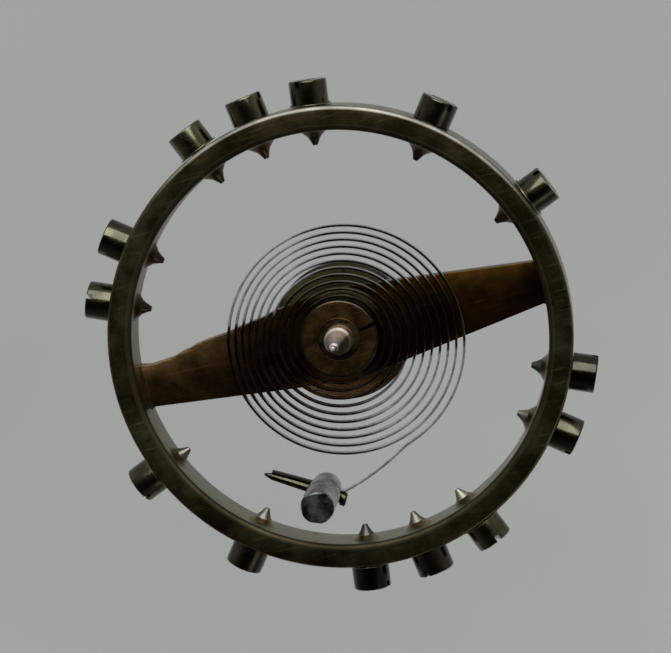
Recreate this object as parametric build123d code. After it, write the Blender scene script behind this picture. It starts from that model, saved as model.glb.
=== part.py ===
from build123d import *
import math
import os

os.makedirs("parts", exist_ok=True)

# Balance complete of a small mechanical watch: screwed balance wheel, staff with its two rollers,
# collet, flat hairspring and stud. Millimetres. The origin is on the staff's axis, half way up the
# rim. +Z runs along the staff to the hairspring side, and +X along one arm of the wheel.

# Fits and cuts
seat_clearance = 0.005
cut_overrun = 0.5

# Balance wheel: a plain uncut rim, with two tapered arms at its back
rim_outer_radius = 4.70
rim_wall = 0.49
rim_height = 0.96
rim_outer_bevel = 0.08
rim_inner_bevel = 0.11
rim_back_bevel = 0.03
arm_thickness = 0.28
arm_end_half_width = 0.43
arm_fillet = 0.10
hub_radius = 0.98
arm_root_share = 0.5
burr_radius = 0.34
burr_height = 0.11

# Timing screws, placed by angles in degrees from the arm and again half a turn on
screw_angles = [21.5, 51.5, 81.5, 96.5, 111.5, 141.5, 156.5]
slot_angles = [35, -50, 62, -20, 80, 15, -70, 48, -5, 25, -62, 70, -35, 5]
screw_head_radius = 0.38
screw_head_length = 0.50
screw_head_bevel = 0.035
screw_slot_width = 0.10
screw_slot_depth = 0.13
screw_shank_radius = 0.17
screw_point_length = 0.21
screw_point_end_radius = 0.05
screw_shank_stand_out = 0.11

# Timing washers, under the heads of three opposite pairs of screws
washer_pairs = [0, 2, 4]
washer_radius = 0.42
washer_thickness = 0.02

# Balance staff, from its upper end downwards
staff_length = 3.20
pivot_radius = 0.055
pivot_length = 0.24
cone_tip_radius = 0.09
stub_radius = 0.28
stub_edge = 0.05
stub_height_share = 0.27
collet_seat_radius = 0.42
collet_seat_shortfall = 0.05
rivet_radius = 0.58
rivet_height = 0.05
wheel_seat_radius = 0.50
staff_hub_radius = 0.66
staff_hub_height = 0.14
roller_seat_radius = 0.30
lower_cone_share = 0.4

# Double roller and its jewel, in line with the arms
impulse_roller_radius = 1.42
impulse_roller_thickness = 0.25
impulse_roller_gap = 0.08
roller_edge_bevel = 0.03
safety_roller_radius = 0.66
safety_roller_thickness = 0.18
safety_roller_gap = 0.07
crescent_radius = 0.17
jewel_angle = 180
jewel_radius = 0.15
jewel_flat_share = 0.45
jewel_orbit_inset = 0.30
jewel_length = 0.62
jewel_head = 0.05

# Collet, split so that it grips the staff
collet_radius = 0.80
collet_height = 0.47
collet_gap = 0.04
collet_bevel = 0.06
collet_slit_width = 0.09
collet_slit_angle = 9.1
collet_hole_radius = 0.11
collet_pin_inset = 0.03
collet_pin_taper_share = 0.85

# Hairspring: a flat spiral wound in half turns about two alternating centres, which winds inwards
# anticlockwise seen from above. Its outer turns lie a little off the axis, towards the end of the
# last turn, where the terminal leaves for the stud.
spring_thickness = 0.045
spring_width = 0.15
spring_height_share = 0.51
spring_collet_gap = 0.0535
spring_off_centre = 0.03
spring_pitch = 0.1524
spring_drift = 0.013
spring_half_turns = 21
spring_line_angle = -60.9
spring_inner_bend_radius = 0.12
gap_points_per_half_turn = 180
gap_window_shares = (0.8, 1.1)
spring_inner_tail = 0.06
spring_outer_tail = 0.80
terminal_follow_turn = 11
terminal_out_turn = 12
terminal_out_radius = 1.1
terminal_long_turn = 16
terminal_bend_radius = 0.12

# Stud and the taper pin that holds the spring in it
stud_radius = 0.34
stud_foot_radius = 0.30
stud_post_above_hole = 0.46
stud_height = 1.91
stud_bevel = 0.04
stud_clear_of_spring = 0.582
stud_angle = -111.2
stud_below_hole = 0.24
stud_hole_radius = 0.17
stud_hole_outset = 0.055
stud_hole_angle = 150.1
stud_pin_reach = 0.78
stud_pin_head = 0.12
stud_pin_tip_radius = 0.075
stud_pin_point = 0.17
stud_pin_end_radius = 0.02

# Heights and radii that follow from the sizes above
rim_inner_radius = rim_outer_radius - rim_wall
rim_top = rim_height / 2
rim_bottom = -rim_height / 2
arm_top = rim_bottom + arm_thickness
collet_bottom = arm_top + rivet_height + collet_gap
collet_top = collet_bottom + collet_height
spring_z = collet_bottom + collet_height * spring_height_share
staff_hub_bottom = rim_bottom - staff_hub_height
impulse_roller_top = staff_hub_bottom - impulse_roller_gap
impulse_roller_bottom = impulse_roller_top - impulse_roller_thickness
safety_roller_top = impulse_roller_bottom - safety_roller_gap
safety_roller_bottom = safety_roller_top - safety_roller_thickness
jewel_orbit = impulse_roller_radius - jewel_orbit_inset

# The strip lies on one side of each pinned hole, and its pin fills the other side
collet_strip_offset = (
    math.sqrt(collet_hole_radius ** 2 - (spring_width / 2) ** 2) - spring_thickness / 2 - seat_clearance
)
stud_strip_offset = (
    math.sqrt(stud_hole_radius ** 2 - (spring_width / 2) ** 2) - spring_thickness / 2 - seat_clearance
)

# The spiral's first half turn, and how far its outer end comes from the axis
spring_inner_radius = collet_radius + spring_thickness / 2 + spring_collet_gap
spring_short_step = (spring_pitch - spring_drift) / 2
spring_long_step = (spring_pitch + spring_drift) / 2
spring_growth = sum(
    spring_short_step if k % 2 else spring_long_step for k in range(1, spring_half_turns)
)
spring_outer_radius = spring_inner_radius + spring_growth
spring_end_reach = spring_outer_radius + spring_off_centre + spring_drift * (spring_half_turns - 1) / 2
stud_orbit = spring_end_reach + stud_clear_of_spring


def direction(angle):
    """Unit vector in the plane of the wheel at an angle in degrees."""
    return Vector(math.cos(math.radians(angle)), math.sin(math.radians(angle)), 0)


def turned(points):
    """Solid of revolution about Z from its outline's points (radius, height)."""
    outline = Polyline(*[(r, 0, z) for r, z in points], close=True)
    return revolve(make_face(outline), Axis.Z)


def turned_on_x(points):
    """Solid of revolution about X from its outline's points (place along X, radius)."""
    outline = Polyline(*[(x, 0, r) for x, r in points], close=True)
    return revolve(make_face(outline), Axis.X)


def radial_cylinder(radius, start, end):
    """Cylinder along +X between two distances from the axis."""
    return Pos((start + end) / 2, 0, 0) * Rot(0, 90, 0) * Cylinder(radius, end - start)


# Balance wheel

def rim():
    """The rim's ring, with its front edges bevelled wider than its back edges."""
    return turned([
        (rim_inner_radius, rim_bottom + rim_back_bevel),
        (rim_inner_radius + rim_back_bevel, rim_bottom),
        (rim_outer_radius - rim_back_bevel, rim_bottom),
        (rim_outer_radius, rim_bottom + rim_back_bevel),
        (rim_outer_radius, rim_top - rim_outer_bevel),
        (rim_outer_radius - rim_outer_bevel, rim_top),
        (rim_inner_radius + rim_inner_bevel, rim_top),
        (rim_inner_radius, rim_top - rim_inner_bevel),
    ])


def arms_and_hub():
    """The flat cross bar: two arms that narrow towards the rim, and a round hub between them."""
    reach = rim_inner_radius
    bar = make_face(Polyline(
        (-reach, -arm_end_half_width), (0, -hub_radius), (reach, -arm_end_half_width),
        (reach, arm_end_half_width), (0, hub_radius), (-reach, arm_end_half_width),
        close=True,
    ))
    windows = Circle(rim_inner_radius) - bar - Circle(hub_radius)
    corners = windows.vertices().filter_by(lambda v: abs(v.X) > hub_radius)
    windows = fillet(corners, min(arm_fillet, arm_end_half_width / 2))
    plate = Circle(rim_inner_radius + rim_wall * arm_root_share) - windows
    return Pos(0, 0, rim_bottom) * extrude(plate, arm_thickness)


def tap_burr():
    """The low ring of metal that the tap raised round a screw hole, inside the rim."""
    root = rim_inner_radius + burr_height
    return turned_on_x([
        (root, 0), (root, burr_radius), (rim_inner_radius, burr_radius),
        (rim_inner_radius - burr_height, screw_shank_radius + burr_height / 2),
        (rim_inner_radius - burr_height, 0),
    ])


def balance_wheel():
    wheel = rim() + arms_and_hub()
    wheel += [Rot(0, 0, angle) * tap_burr() for angle in all_screw_angles()]
    hole = radial_cylinder(
        screw_shank_radius + seat_clearance,
        rim_inner_radius - cut_overrun,
        rim_outer_radius + cut_overrun,
    )
    wheel -= [Rot(0, 0, angle) * hole for angle in all_screw_angles()]
    bore = Cylinder(wheel_seat_radius + seat_clearance, rim_height + cut_overrun)
    return wheel - bore


# Timing screws and washers

def all_screw_angles():
    """The angles of one half of the rim, then of the half opposite."""
    return [angle + half for half in (0, 180) for angle in screw_angles]


def has_washer(number):
    return number % len(screw_angles) in washer_pairs


def head_seat(number):
    """Distance from the axis to the underside of a screw's head."""
    return rim_outer_radius + (washer_thickness if has_washer(number) else 0)


def timing_screw(number):
    """Cheese-head screw that points to the axis, with its slot across the outer end."""
    seat = head_seat(number)
    head_end = seat + screw_head_length
    shank_end = rim_inner_radius - screw_shank_stand_out
    screw = turned_on_x([
        (shank_end - screw_point_length, 0),
        (shank_end - screw_point_length, screw_point_end_radius),
        (shank_end, screw_shank_radius),
        (seat, screw_shank_radius),
        (seat, screw_head_radius),
        (head_end - screw_head_bevel, screw_head_radius),
        (head_end, screw_head_radius - screw_head_bevel),
        (head_end, 0),
    ])
    slot = Box(screw_slot_depth + cut_overrun, screw_slot_width, 2 * screw_head_radius + cut_overrun)
    slot = Pos(head_end + (cut_overrun - screw_slot_depth) / 2, 0, 0) * slot
    screw -= Rot(slot_angles[number], 0, 0) * slot
    return Rot(0, 0, all_screw_angles()[number]) * screw


def timing_washer(number):
    ring = radial_cylinder(washer_radius, rim_outer_radius, rim_outer_radius + washer_thickness)
    hole = radial_cylinder(
        screw_shank_radius + seat_clearance,
        rim_outer_radius - cut_overrun,
        rim_outer_radius + cut_overrun,
    )
    return Rot(0, 0, all_screw_angles()[number]) * (ring - hole)


# Staff and rollers

def balance_staff():
    """Turned staff: pivots, cones, collet seat, rivet over the wheel, hub and roller seat."""
    end = staff_length / 2
    pivot_base = end - pivot_length
    stub_base = collet_top - collet_seat_shortfall
    stub_top = stub_base + (pivot_base - stub_base) * stub_height_share
    cone_start = safety_roller_bottom - (pivot_base + safety_roller_bottom) * lower_cone_share
    return turned([
        (0, end),
        (pivot_radius, end),
        (pivot_radius, pivot_base),
        (cone_tip_radius, pivot_base),
        (stub_radius - stub_edge, stub_top + stub_edge),
        (stub_radius, stub_top),
        (stub_radius, stub_base),
        (collet_seat_radius, stub_base),
        (collet_seat_radius, arm_top + rivet_height),
        (rivet_radius, arm_top + rivet_height),
        (rivet_radius, arm_top),
        (wheel_seat_radius, arm_top),
        (wheel_seat_radius, rim_bottom),
        (staff_hub_radius, rim_bottom),
        (staff_hub_radius, staff_hub_bottom),
        (roller_seat_radius, staff_hub_bottom),
        (roller_seat_radius, cone_start),
        (cone_tip_radius, -pivot_base),
        (pivot_radius, -pivot_base),
        (pivot_radius, -end),
        (0, -end),
    ])


def roller_disc(radius, top, bottom):
    """A turned roller with its two outer edges broken, bored for the staff."""
    bore = roller_seat_radius + seat_clearance
    return turned([
        (bore, bottom),
        (radius - roller_edge_bevel, bottom),
        (radius, bottom + roller_edge_bevel),
        (radius, top - roller_edge_bevel),
        (radius - roller_edge_bevel, top),
        (bore, top),
    ])


def jewel_outline(spare):
    """D-shaped outline of the impulse jewel, its flat facing away from the staff."""
    rounded = Circle(jewel_radius + spare)
    flat_place = jewel_radius * jewel_flat_share + spare
    half = jewel_radius + spare
    keep = Pos((flat_place - half) / 2, 0, 0) * Rectangle(flat_place + half, 2 * half)
    return Rot(0, 0, jewel_angle) * Pos(jewel_orbit, 0, 0) * (rounded & keep)


def impulse_roller():
    disc = roller_disc(impulse_roller_radius, impulse_roller_top, impulse_roller_bottom)
    hole = extrude(jewel_outline(seat_clearance), impulse_roller_thickness + 2 * cut_overrun)
    return disc - Pos(0, 0, impulse_roller_bottom - cut_overrun) * hole


def safety_roller():
    """Small roller with the passing crescent that lets the guard finger through."""
    disc = roller_disc(safety_roller_radius, safety_roller_top, safety_roller_bottom)
    crescent = Cylinder(crescent_radius, safety_roller_thickness + cut_overrun)
    middle = (safety_roller_top + safety_roller_bottom) / 2
    place = direction(jewel_angle) * safety_roller_radius + Vector(0, 0, middle)
    return disc - Pos(place) * crescent


def impulse_jewel():
    bottom = impulse_roller_top + jewel_head - jewel_length
    return Pos(0, 0, bottom) * extrude(jewel_outline(0), jewel_length)


# Collet

def inner_straight():
    """Where the strip's straight inner end lies: its heading in degrees, the strip's and the
    hole's distances from the axis, and how far along the heading the strip starts to bend."""
    hole_distance = (collet_seat_radius + collet_radius) / 2
    strip_distance = hole_distance - collet_strip_offset
    bend = spring_inner_bend_radius
    bend_centre = spring_inner_radius - bend - spring_off_centre
    bend_start = math.sqrt(bend_centre ** 2 - (strip_distance - bend) ** 2)
    lead = math.degrees(math.atan2(strip_distance - bend, bend_start))
    heading = spring_line_angle + 180 - lead
    return heading, strip_distance, hole_distance, bend_start


def along_inner_straight(distance, along):
    """A point beside the axis, at a distance to the left of the inner straight's heading."""
    heading = inner_straight()[0]
    point = direction(heading + 90) * distance + direction(heading) * along
    return point + Vector(0, 0, spring_z)


def collet():
    """Split ring with a bevelled upper edge, drilled across for the hairspring and its pin."""
    bore = collet_seat_radius + seat_clearance
    ring = turned([
        (bore, collet_bottom),
        (collet_radius - collet_bevel, collet_bottom),
        (collet_radius, collet_bottom + collet_bevel),
        (collet_radius, collet_top - collet_bevel),
        (collet_radius - collet_bevel, collet_top),
        (bore, collet_top),
    ])
    slit_length = collet_radius + cut_overrun
    slit = Box(slit_length, collet_slit_width, collet_height + cut_overrun)
    slit = Pos(slit_length / 2, 0, (collet_top + collet_bottom) / 2) * slit
    ring -= Rot(0, 0, collet_slit_angle) * slit
    heading, _, hole_distance, _ = inner_straight()
    across = Plane(along_inner_straight(hole_distance, 0), z_dir=direction(heading))
    return ring - across * Cylinder(collet_hole_radius, 2 * collet_radius + cut_overrun)


def taper_rod(start, end, start_radius, end_radius):
    """Round rod between two points, with a radius at each end."""
    axis = end - start
    outline = Polyline((0, 0, 0), (start_radius, 0, 0), (end_radius, 0, axis.length),
                       (0, 0, axis.length), close=True)
    rod = revolve(make_face(outline), Axis.Z)
    return Plane(start, z_dir=axis.normalized()) * rod


def collet_pin():
    """Pin beside the strip in the collet's hole, filed off level with the collet."""
    _, _, hole_distance, _ = inner_straight()
    strip_face = collet_strip_offset - spring_thickness / 2 - seat_clearance
    radius = (strip_face + collet_hole_radius) / 2 - seat_clearance
    distance = hole_distance - strip_face + radius
    outermost = distance + radius
    reach = math.sqrt(collet_radius ** 2 - outermost ** 2) - collet_pin_inset
    thin = radius * collet_pin_taper_share
    start = along_inner_straight(distance, reach)
    end = along_inner_straight(distance - (radius - thin), -reach)
    return taper_rod(start, end, radius, thin)


# Hairspring

class Route:
    """A flat path of tangent arcs and straights, drawn from a start point and a heading."""

    def __init__(self, point, heading):
        self.point = point
        self.heading = heading
        self.edges = []

    def straight(self, length):
        end = self.point + direction(self.heading) * length
        self.edges.append(Line(self.point, end))
        self.point = end

    def arc(self, radius, turn):
        """Turns left by a positive number of degrees and right by a negative one."""
        side = 90 if turn > 0 else -90
        centre = self.point + direction(self.heading + side) * radius
        middle = centre + direction(self.heading - side + turn / 2) * radius
        end = centre + direction(self.heading - side + turn) * radius
        self.edges.append(ThreePointArc(self.point, middle, end))
        self.point = end
        self.heading += turn


def stud_centre():
    return direction(stud_angle) * stud_orbit


def stud_hole_line(offset, along):
    """A point in the stud's hole: offset from its middle towards the wheel's axis, and along it.
    The hole passes the stud's own axis on the outer side."""
    side = direction(stud_hole_angle - 90)
    point = stud_centre() + side * (offset - stud_hole_outset) + direction(stud_hole_angle) * along
    return point + Vector(0, 0, spring_z)


def draw_coils(route):
    """The half turns of the spiral, from the collet outwards, all clockwise."""
    radius = spring_inner_radius
    for k in range(spring_half_turns):
        if k > 0:
            radius += spring_short_step if k % 2 else spring_long_step
        route.arc(radius, -180)


def draw_terminal(route):
    """Leads the spring from its last turn to the stud: on round, out, a long easy curve, a bend and
    a straight through the hole. The long curve's radius is what brings the bend to the hole."""
    route.arc(spring_outer_radius, -terminal_follow_turn)
    route.arc(terminal_out_radius, terminal_out_turn)
    last_turn = (stud_hole_angle - route.heading + terminal_long_turn + 180) % 360 - 180
    across = direction(stud_hole_angle - 90)
    target = stud_hole_line(stud_strip_offset, 0)
    probe = Route(Vector(0, 0, 0), route.heading)
    probe.arc(1, -terminal_long_turn)
    unit_shift = across.dot(probe.point)
    bend = Route(Vector(0, 0, 0), probe.heading)
    bend.arc(terminal_bend_radius, last_turn)
    missing = across.dot(target - route.point) - across.dot(bend.point)
    route.arc(missing / unit_shift, -terminal_long_turn)
    route.arc(terminal_bend_radius, last_turn)
    past_stud = stud_hole_line(stud_strip_offset, stud_radius + spring_outer_tail)
    route.straight((past_stud - route.point).length)


def spring_route():
    heading, strip_distance, _, bend_start = inner_straight()
    tail_start = -math.sqrt(collet_radius ** 2 - strip_distance ** 2) + spring_inner_tail
    route = Route(along_inner_straight(strip_distance, tail_start), heading)
    route.straight(bend_start - tail_start)
    turn = route.heading - (spring_line_angle + 90)
    route.arc(spring_inner_bend_radius, -turn)
    draw_coils(route)
    draw_terminal(route)
    return route


def least_gap(wire):
    """Least clear distance between neighbouring turns, measured on points along the strip."""
    count = spring_half_turns * gap_points_per_half_turn
    points = [tuple(wire.position_at(k / count)) for k in range(count + 1)]
    per_length = count / wire.length
    nearest = int(per_length * 2 * math.pi * spring_inner_radius * gap_window_shares[0])
    farthest = int(per_length * 2 * math.pi * spring_end_reach * gap_window_shares[1])
    least = spring_end_reach
    for i, point in enumerate(points):
        for other in points[i + nearest:i + farthest]:
            least = min(least, math.dist(point, other))
    return least - spring_thickness


def hairspring():
    """One unbroken strip that stands on edge along the route."""
    route = spring_route()
    wire = Wire(route.edges)
    start = Plane(wire.position_at(0), x_dir=(0, 0, 1), z_dir=wire.tangent_at(0))
    strip = sweep(start * Rectangle(spring_width, spring_thickness), wire)
    length = wire.length
    expected = length * spring_width * spring_thickness
    print(f"hairspring: length {length:.2f} mm, volume {strip.volume:.5f}, expected {expected:.5f}")
    print(f"hairspring: least gap between turns {least_gap(wire):.4f} mm")
    return strip


# Stud

def stud():
    """Round post on a foot that narrows downwards, with both ends bevelled. The foot is drilled
    across for the hairspring and its pin."""
    bottom = spring_z - stud_below_hole
    top = bottom + stud_height
    foot_top = spring_z + stud_post_above_hole
    post = turned([
        (0, bottom),
        (stud_foot_radius - stud_bevel, bottom),
        (stud_foot_radius, bottom + stud_bevel),
        (stud_radius, foot_top),
        (stud_radius, top - stud_bevel),
        (stud_radius - stud_bevel, top),
        (0, top),
    ])
    across = Plane(stud_hole_line(0, 0), z_dir=direction(stud_hole_angle))
    hole = across * Cylinder(stud_hole_radius, 2 * stud_radius + cut_overrun)
    return Pos(stud_centre()) * post - hole


def stud_pin():
    """Taper pin wedged beside the strip, its thin end left long and pointed beyond the stud."""
    strip_face = stud_strip_offset - spring_thickness / 2 - seat_clearance
    thick = (strip_face + stud_hole_radius) / 2 - seat_clearance
    thin_offset = strip_face - stud_pin_tip_radius
    start = stud_hole_line(strip_face - thick, -stud_radius - stud_pin_head)
    end = stud_hole_line(thin_offset, stud_radius + stud_pin_reach)
    rod = taper_rod(start, end, thick, stud_pin_tip_radius)
    point_end = end + (end - start).normalized() * stud_pin_point
    return rod + taper_rod(end, point_end, stud_pin_tip_radius, stud_pin_end_radius)


# Every piece under its own name

pieces = {
    "balance_wheel": balance_wheel(),
    "balance_staff": balance_staff(),
    "impulse_roller": impulse_roller(),
    "safety_roller": safety_roller(),
    "impulse_jewel": impulse_jewel(),
    "collet": collet(),
    "collet_pin": collet_pin(),
    "hairspring": hairspring(),
    "stud": stud(),
    "stud_pin": stud_pin(),
}
for number in range(len(all_screw_angles())):
    pieces[f"timing_screw_{number + 1:02d}"] = timing_screw(number)
    if has_washer(number):
        pieces[f"timing_washer_{number + 1:02d}"] = timing_washer(number)

for name, piece in pieces.items():
    export_step(piece, f"parts/{name}.step")
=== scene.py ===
import math

import bmesh
import bpy
from mathutils import Matrix, Vector, noise


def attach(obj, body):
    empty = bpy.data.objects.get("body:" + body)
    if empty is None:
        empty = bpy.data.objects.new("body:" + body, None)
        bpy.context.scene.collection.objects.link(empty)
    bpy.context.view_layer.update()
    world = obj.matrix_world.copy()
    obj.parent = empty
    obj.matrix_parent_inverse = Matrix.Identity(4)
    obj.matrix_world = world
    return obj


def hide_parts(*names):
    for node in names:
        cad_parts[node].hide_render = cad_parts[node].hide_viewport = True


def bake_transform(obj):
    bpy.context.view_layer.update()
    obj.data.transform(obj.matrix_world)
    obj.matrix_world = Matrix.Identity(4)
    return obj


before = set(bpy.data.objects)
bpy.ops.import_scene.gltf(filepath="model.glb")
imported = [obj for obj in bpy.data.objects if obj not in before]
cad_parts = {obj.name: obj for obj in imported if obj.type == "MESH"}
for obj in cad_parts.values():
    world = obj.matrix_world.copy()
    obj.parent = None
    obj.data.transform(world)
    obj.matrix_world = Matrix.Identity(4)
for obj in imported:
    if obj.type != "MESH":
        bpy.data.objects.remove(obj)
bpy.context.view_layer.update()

# Sizes in metres, as the solids have them. The origin is on the staff's axis, half way up the rim,
# +Z runs to the hairspring side and +X along one arm.
mm = 0.001
seat_clearance = 0.005 * mm
cut_overrun = 0.5 * mm
same_point = 1e-5 * mm
longest_rounding_share = 0.48

# Rim, arms and hub
rim_outer_radius = 4.70 * mm
rim_inner_radius = 4.21 * mm
rim_top = 0.48 * mm
rim_bottom = -0.48 * mm
rim_outer_round = 0.08 * mm
rim_inner_round = 0.11 * mm
rim_back_round = 0.03 * mm
arm_top = -0.20 * mm
arm_root_radius = 4.45 * mm
arm_end_half_width = 0.43 * mm
hub_radius = 0.98 * mm
arm_edge_round = 0.018 * mm
arm_fillet = 0.10 * mm
arm_stations = 240
wheel_bore = 0.505 * mm
burr_radius = 0.36 * mm
burr_height = 0.12 * mm
burr_lip = 0.004 * mm
burr_flare_power = 1.5

# Timing screws and washers
screw_angles = [21.5, 51.5, 81.5, 96.5, 111.5, 141.5, 156.5]
screw_count = 2 * len(screw_angles)
washer_pairs = [0, 2, 4]
washed_screws = [k for k in range(screw_count) if k % len(screw_angles) in washer_pairs]

# Turns of the slots, and tones from 0, dark, to 1, pale, both by the screw's number from 0
slot_angles = [35, -50, 62, -20, 80, 15, -70, 48, -5, 25, -62, 70, -35, 5]
screw_tones = {2: 0.55, 3: 1, 4: 1, 7: 0.6, 9: 0, 11: 1, 13: 0}
plain_screw_tone = 0.4

screw_head_radius = 0.38 * mm
screw_head_length = 0.50 * mm
screw_head_round = 0.035 * mm
screw_seat_round = 0.012 * mm
screw_slot_width = 0.10 * mm
screw_slot_depth = 0.13 * mm
screw_shank_radius = 0.17 * mm
screw_tip_radius = 0.05 * mm
screw_tip_place = 3.89 * mm
screw_flare_place = 4.10 * mm
screw_flare_share = 0.2
washer_radius = 0.42 * mm
washer_thickness = 0.02 * mm
washer_sink = 0.001 * mm
washer_seat_round = 0.005 * mm
washer_face_round = 0.008 * mm

# Staff
staff_end = 1.60 * mm
pivot_base = 1.36 * mm
pivot_radius = 0.055 * mm
cone_tip_radius = 0.09 * mm
stub_radius = 0.28 * mm
stub_edge = 0.05 * mm
stub_top = 0.5935 * mm
stub_base = 0.31 * mm
collet_seat_radius = 0.42 * mm
rivet_top = -0.15 * mm
rivet_radius = 0.58 * mm
wheel_seat_radius = 0.50 * mm
staff_hub_radius = 0.66 * mm
staff_hub_bottom = -0.62 * mm
roller_seat_radius = 0.30 * mm
lower_cone_start = -1.264 * mm
pivot_end_round = 0.03 * mm
staff_edge_round = 0.02 * mm
collet_seat_round = 0.015 * mm
staff_hub_round = 0.01 * mm
cone_tip_round = 0.008 * mm

# Rollers and jewel
impulse_roller_radius = 1.42 * mm
impulse_roller_top = -0.70 * mm
impulse_roller_bottom = -0.95 * mm
safety_roller_radius = 0.66 * mm
safety_roller_top = -1.02 * mm
safety_roller_bottom = -1.20 * mm
roller_edge_round = 0.03 * mm
roller_bore_round = 0.01 * mm
crescent_radius = 0.17 * mm
jewel_angle = 180
jewel_orbit = 1.12 * mm
jewel_radius = 0.15 * mm
jewel_flat = 0.0675 * mm
jewel_top = -0.65 * mm
jewel_bottom = -1.27 * mm
jewel_edge_share = 0.12
jewel_sides = 40

# Collet and its pin
collet_radius = 0.80 * mm
collet_top = 0.36 * mm
collet_bottom = -0.11 * mm
collet_round = 0.06 * mm
collet_bore_round = 0.012 * mm
collet_slit_width = 0.09 * mm
collet_slit_angle = 9.1
collet_hole_radius = 0.11 * mm
collet_pin_inset = 0.03 * mm
collet_pin_taper = 0.85

# Roundings of both pins, as shares of the radius there
thick_end_round_share = 0.35
thin_end_round_share = 0.3
point_round_share = 0.7

# Hairspring
strip_thickness = 0.045 * mm
strip_width = 0.15 * mm
strip_edge_round = 0.006 * mm
spring_z = 0.1297 * mm
spring_inner_radius = 0.876 * mm
spring_off_centre = 0.03 * mm
spring_short_step = 0.0697 * mm
spring_long_step = 0.0827 * mm
spring_half_turns = 21
spring_line_angle = -60.9
inner_bend_radius = 0.12 * mm
inner_tail = 0.06 * mm
outer_tail = 0.80 * mm
terminal_follow_turn = 11
terminal_out_turn = 12
terminal_out_radius = 1.1 * mm
terminal_long_turn = 16
terminal_bend_radius = 0.12 * mm
degrees_per_step = 2.5
straight_step = 0.1 * mm

# Stud and its pin
stud_place = Vector((-1.1362, -2.9294, 0)) * mm
stud_radius = 0.34 * mm
stud_foot_radius = 0.30 * mm
stud_foot_top = 0.5897 * mm
stud_top = 1.80 * mm
stud_bottom = -0.11 * mm
stud_round = 0.04 * mm
stud_foot_round = 0.02 * mm
stud_chip_depth = 0.045 * mm
stud_chip_reach = 0.10 * mm
stud_chips_per_mm = 4.2
stud_chip_strength = 2
stud_hole_radius = 0.17 * mm
stud_hole_outset = 0.055 * mm
stud_hole_angle = 150.1
stud_pin_reach = 0.78 * mm
stud_pin_head = 0.12 * mm
stud_pin_burr_radius = 0.15 * mm
stud_pin_burr_length = 0.13 * mm
stud_pin_burr_lead = 0.01 * mm
stud_pin_burr_taper = 0.9
stud_pin_tip_radius = 0.075 * mm
stud_pin_point = 0.17 * mm
stud_pin_end_radius = 0.02 * mm

# Sides of round shapes, and how far faces turn at an edge that stays sharp
rim_sides = 288
wide_sides = 192
small_roller_sides = 128
post_sides = 96
screw_sides = 64
pin_sides = 48
curve_steps = 8
sharp_turn = 32
strip_sharp_turn = 60

# Finishes
worn_edge_width = 0.03 * mm
relief_depth = 0.006 * mm

# Camera, light and floor
view_tilt = 10.6
view_tilt_way = 58.8
view_turn = -15.9
view_aside = -0.10 * mm
view_over = 0.205 * mm
view_distance = 51.1 * mm
focal_length = 135.577
nearest_seen = 1 * mm
window_side = 74
floor_below = 20 * mm
floor_size = 1.2


# Shapes

up = Vector((0, 0, 1))
on_x = Matrix.Rotation(math.radians(90), 4, "Y")


def direction(angle, rise=0):
    """Unit vector at an angle round the wheel and an angle above its plane, in degrees."""
    around, above = math.radians(angle), math.radians(rise)
    return Vector((math.cos(above) * math.cos(around), math.cos(above) * math.sin(around), math.sin(above)))


def even_shares(steps):
    """Shares from 0 to 1 in even steps."""
    return [k / steps for k in range(steps + 1)]


def in_scene(name, data):
    """An object of the scene that shows a mesh, a lamp or a lens."""
    shown = bpy.data.objects.new(name, data)
    bpy.context.scene.collection.objects.link(shown)
    return shown


def mesh_from(name, points, lines=(), faces=()):
    mesh = bpy.data.meshes.new(name)
    mesh.from_pydata([tuple(point) for point in points], lines, faces)
    return mesh


def keep_on_points(mesh, name, values, kind="FLOAT"):
    """Keeps a value, or three for a vector, on each point of a mesh."""
    kept = mesh.attributes.new(name, kind, "POINT")
    kept.data.foreach_set("value" if kind == "FLOAT" else "vector", values)


def piece_from(name, points, faces):
    """A piece of the object from its points and faces, with its faces turned outwards."""
    mesh = mesh_from(name, points, faces=faces)
    shell = bmesh.new()
    shell.from_mesh(mesh)
    bmesh.ops.remove_doubles(shell, verts=shell.verts, dist=same_point)
    bmesh.ops.recalc_face_normals(shell, faces=shell.faces)
    shell.to_mesh(mesh)
    shell.free()
    return in_scene(name, mesh)


def settle(piece):
    """Makes a piece and what its modifiers do into one plain mesh."""
    graph = bpy.context.evaluated_depsgraph_get()
    mesh = bpy.data.meshes.new_from_object(piece.evaluated_get(graph))
    piece.modifiers.clear()
    piece.data = mesh
    return piece


def softened(corners, closed=False, steps=4):
    """An outline whose corners (across, along, rounding) become small curves."""
    count = len(corners)
    outline = []
    for k, (x, y, rounding) in enumerate(corners):
        corner = Vector((x, y))
        at_end = not closed and k in (0, count - 1)
        if rounding == 0 or at_end:
            outline.append(corner)
            continue
        before = Vector(corners[k - 1][:2]) - corner
        after = Vector(corners[(k + 1) % count][:2]) - corner
        half = before.angle(after) / 2
        longest = min(before.length, after.length) * longest_rounding_share
        reach = min(rounding / math.tan(half), longest)
        start = corner + before.normalized() * reach
        end = corner + after.normalized() * reach
        for t in even_shares(steps):
            outline.append(start * (1 - t) ** 2 + corner * 2 * t * (1 - t) + end * t ** 2)
    return outline


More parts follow.
